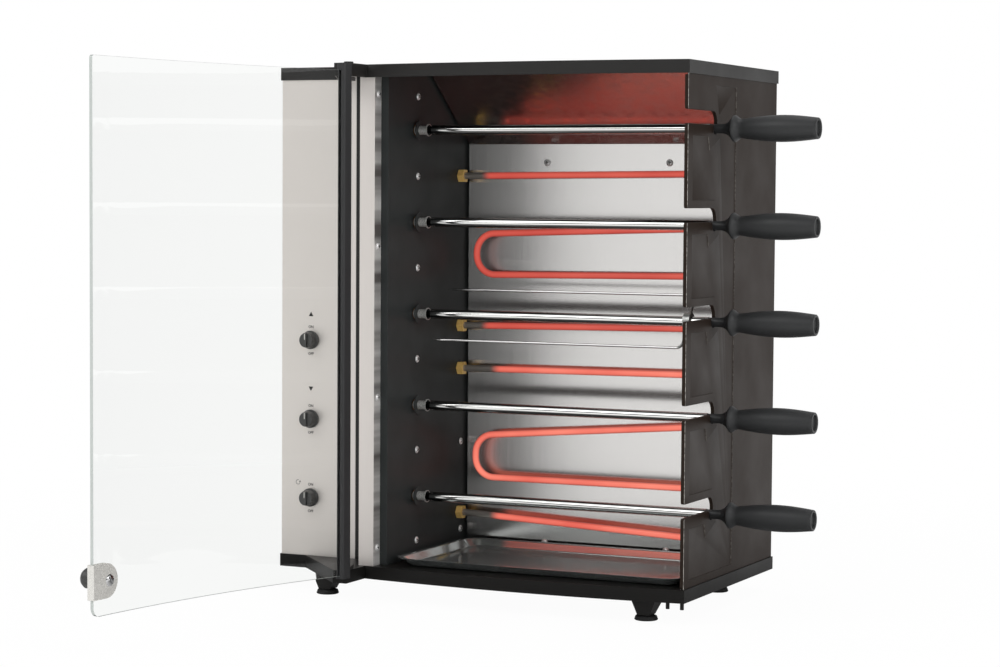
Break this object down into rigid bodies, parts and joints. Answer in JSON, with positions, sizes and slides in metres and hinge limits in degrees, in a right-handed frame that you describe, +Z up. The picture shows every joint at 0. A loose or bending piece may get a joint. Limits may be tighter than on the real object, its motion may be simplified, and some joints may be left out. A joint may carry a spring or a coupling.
{
  "type": "electric skewer grill",
  "caption": "Upright countertop electric grill with turning skewers in an open-fronted cavity, bent glass door, gear drive and control column",
  "frame": {"origin": "middle of the four feet, on the surface that they stand on", "axes": "+Z up, the open front faces -Y, skewers lie along X with their grips at +X"},
  "size_m": [0.661, 0.7438, 0.627],
  "materials": {
    "black_paint": "satin",
    "stainless": "brushed",
    "plated_steel": "satin",
    "chrome": "polished",
    "heated_tube": "dull",
    "brass": "machined",
    "black_plastic": "satin",
    "moulded_plastic": "satin",
    "black_rubber": "matte",
    "tempered_glass": "clear",
    "sintered_bronze": "dull",
    "motor_steel": "satin"
  },
  "bodies": {
    "case": {"base_deck": "black_paint", "top_cover": "black_paint", "right_side_panel": "black_paint", "left_side_panel": "black_paint", "rear_panel": "black_paint", "column_strip": "black_paint", "cavity_wall": "black_paint", "foot_brackets": "black_paint", "black_screws": "black_paint", "control_panel": "stainless", "cavity_trim": "stainless", "back_reflector": "stainless", "top_reflector": "stainless", "bearing_plate": "plated_steel", "bearing_rail": "plated_steel", "motor_bracket": "plated_steel", "hinge_pins": "plated_steel", "bright_screws": "chrome", "upper_element": "heated_tube", "lower_element": "heated_tube", "element_glands": "brass", "spindle_bushes": "sintered_bronze", "cable_gland": "black_plastic", "rotary_switches": "black_plastic", "terminal_block": "moulded_plastic", "foot_pads": "black_rubber", "gearmotor": "motor_steel"},
    "door": {"door_glass": "tempered_glass", "door_post": "plated_steel", "hinge_arms": "plated_steel", "latch_clamp": "chrome", "latch_screw": "chrome", "latch_knob": "black_plastic"},
    "motor_knob_body": {"motor_knob": "black_plastic"},
    "lower_knob_body": {"lower_element_knob": "black_plastic"},
    "upper_knob_body": {"upper_element_knob": "black_plastic"},
    "tray": {"drip_tray": "chrome"},
    "pinion": {"drive_pinion": "plated_steel"},
    "spit_1": {"spindle_1": "plated_steel", "spindle_gear_1": "plated_steel"},
    "skewer_1": {"skewer_rod_1": "chrome", "skewer_grip_1": "black_plastic"},
    "spit_2": {"spindle_2": "plated_steel", "spindle_gear_2": "plated_steel"},
    "skewer_2": {"skewer_rod_2": "chrome", "skewer_grip_2": "black_plastic"},
    "spit_3": {"spindle_3": "plated_steel", "spindle_gear_3": "plated_steel"},
    "skewer_3": {"skewer_rod_3": "chrome", "skewer_grip_3": "black_plastic", "meat_fork": "chrome", "fork_thumbscrew": "chrome"},
    "spit_4": {"spindle_4": "plated_steel", "spindle_gear_4": "plated_steel"},
    "skewer_4": {"skewer_rod_4": "chrome", "skewer_grip_4": "black_plastic"},
    "spit_5": {"spindle_5": "plated_steel", "spindle_gear_5": "plated_steel"},
    "skewer_5": {"skewer_rod_5": "chrome", "skewer_grip_5": "black_plastic"}
  },
  "joints": [
    {"name": "door_hinge", "type": "hinge", "parent": "case", "child": "door", "pos_m": [-0.15, -0.166, 0.33], "axis": [0, 0, 1], "range_deg": [-26.4, 103.6]},
    {"name": "motor_switch", "type": "hinge", "parent": "case", "child": "motor_knob_body", "pos_m": [-0.2415, -0.092, 0.1103], "axis": [0, 1, 0], "range_deg": [0, 180]},
    {"name": "lower_element_switch", "type": "hinge", "parent": "case", "child": "lower_knob_body", "pos_m": [-0.2415, -0.092, 0.2052], "axis": [0, 1, 0], "range_deg": [0, 180]},
    {"name": "upper_element_switch", "type": "hinge", "parent": "case", "child": "upper_knob_body", "pos_m": [-0.2415, -0.092, 0.3], "axis": [0, 1, 0], "range_deg": [0, 180]},
    {"name": "spit_1_spin", "type": "hinge", "parent": "case", "child": "spit_1", "pos_m": [-0.13, -0.0505, 0.115], "axis": [1, 0, 0], "continuous": true},
    {"name": "spit_2_spin", "type": "hinge", "parent": "case", "child": "spit_2", "pos_m": [-0.13, -0.0505, 0.224], "axis": [1, 0, 0], "continuous": true},
    {"name": "spit_3_spin", "type": "hinge", "parent": "case", "child": "spit_3", "pos_m": [-0.13, -0.0505, 0.333], "axis": [1, 0, 0], "continuous": true},
    {"name": "spit_4_spin", "type": "hinge", "parent": "case", "child": "spit_4", "pos_m": [-0.13, -0.0505, 0.442], "axis": [1, 0, 0], "continuous": true},
    {"name": "spit_5_spin", "type": "hinge", "parent": "case", "child": "spit_5", "pos_m": [-0.13, -0.0505, 0.551], "axis": [1, 0, 0], "continuous": true},
    {"name": "skewer_1_pull", "type": "slide", "parent": "spit_1", "child": "skewer_1", "axis": [1, 0, 0], "range_m": [0, 0.017]},
    {"name": "skewer_2_pull", "type": "slide", "parent": "spit_2", "child": "skewer_2", "axis": [1, 0, 0], "range_m": [0, 0.017]},
    {"name": "skewer_3_pull", "type": "slide", "parent": "spit_3", "child": "skewer_3", "axis": [1, 0, 0], "range_m": [0, 0.017]},
    {"name": "skewer_4_pull", "type": "slide", "parent": "spit_4", "child": "skewer_4", "axis": [1, 0, 0], "range_m": [0, 0.017]},
    {"name": "skewer_5_pull", "type": "slide", "parent": "spit_5", "child": "skewer_5", "axis": [1, 0, 0], "range_m": [0, 0.017]},
    {"name": "pinion_spin", "type": "hinge", "parent": "case", "child": "pinion", "pos_m": [-0.142, 0.03125, 0.333], "axis": [1, 0, 0], "continuous": true},
    {"name": "tray_slide", "type": "slide", "parent": "case", "child": "tray", "axis": [0, 1, 0], "range_m": [-0.16, 0]}
  ],
  "couplings": [
    {"joint": "spit_2_spin", "follows": "spit_1_spin", "ratio": -1},
    {"joint": "spit_3_spin", "follows": "spit_1_spin", "ratio": 1},
    {"joint": "spit_4_spin", "follows": "spit_1_spin", "ratio": -1},
    {"joint": "spit_5_spin", "follows": "spit_1_spin", "ratio": 1},
    {"joint": "pinion_spin", "follows": "spit_1_spin", "ratio": -2}
  ]
}
